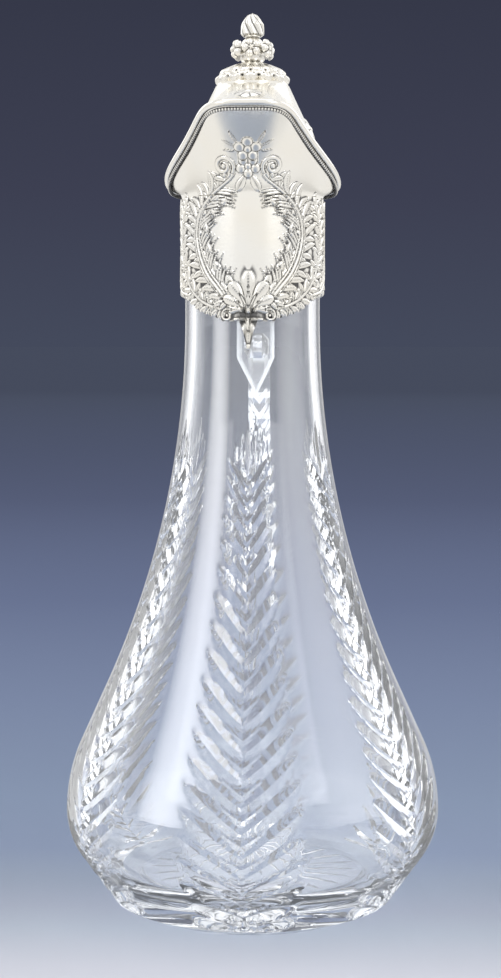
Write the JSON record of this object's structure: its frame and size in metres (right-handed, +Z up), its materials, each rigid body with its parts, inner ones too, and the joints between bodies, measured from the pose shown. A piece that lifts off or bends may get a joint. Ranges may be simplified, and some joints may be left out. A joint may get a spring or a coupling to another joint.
{
  "type": "lidded glass claret jug",
  "caption": "Cut glass claret jug with feather cut bands, a chased silver collar, a beaked spout, a hinged lid with a blossom finial and a glass handle.",
  "frame": {"origin": "centre of the foot, on the surface that the jug stands on", "axes": "+Z up along the jug's axis, -Y towards the spout's beak, +Y towards the handle, +X to the right for someone who faces the spout"},
  "size_m": [0.1552, 0.1552, 0.368],
  "materials": {
    "cut_glass": "clear, cut and polished",
    "handle_glass": "clear, faceted and polished",
    "plaster": "set plaster, matt",
    "chased_silver": "chased silver with dark grooves",
    "gilt_liner": "gilt, polished",
    "polished_silver": "polished silver",
    "hinge_silver": "polished silver, lightly worn",
    "cast_silver": "cast and chased silver with dark grooves",
    "pin_steel": "turned, plain"
  },
  "bodies": {
    "jug": {"glass_body": "cut_glass", "glass_handle": "handle_glass", "cement_bed": "plaster", "neck_collar": "chased_silver", "mouth_liner": "gilt_liner", "spout": "polished_silver", "rim_wire": "polished_silver", "hinge_base": "hinge_silver", "hinge_pin": "pin_steel"},
    "lid": {"lid": "chased_silver", "lid_border": "polished_silver", "hinge_leaf": "hinge_silver", "thumbpiece": "hinge_silver", "lid_shell_front": "cast_silver", "lid_shell_right": "cast_silver", "lid_shell_back": "cast_silver", "lid_shell_left": "cast_silver", "finial_rosette": "cast_silver", "finial_blossoms": "cast_silver", "finial_bud": "cast_silver", "finial_stud": "pin_steel", "finial_washer": "pin_steel", "finial_nut": "pin_steel"}
  },
  "joints": [
    {"name": "lid_hinge", "type": "hinge", "parent": "jug", "child": "lid", "pos_m": [0, 0.0359, 0.298], "axis": [-1, 0, 0], "range_deg": [0, 100]}
  ]
}
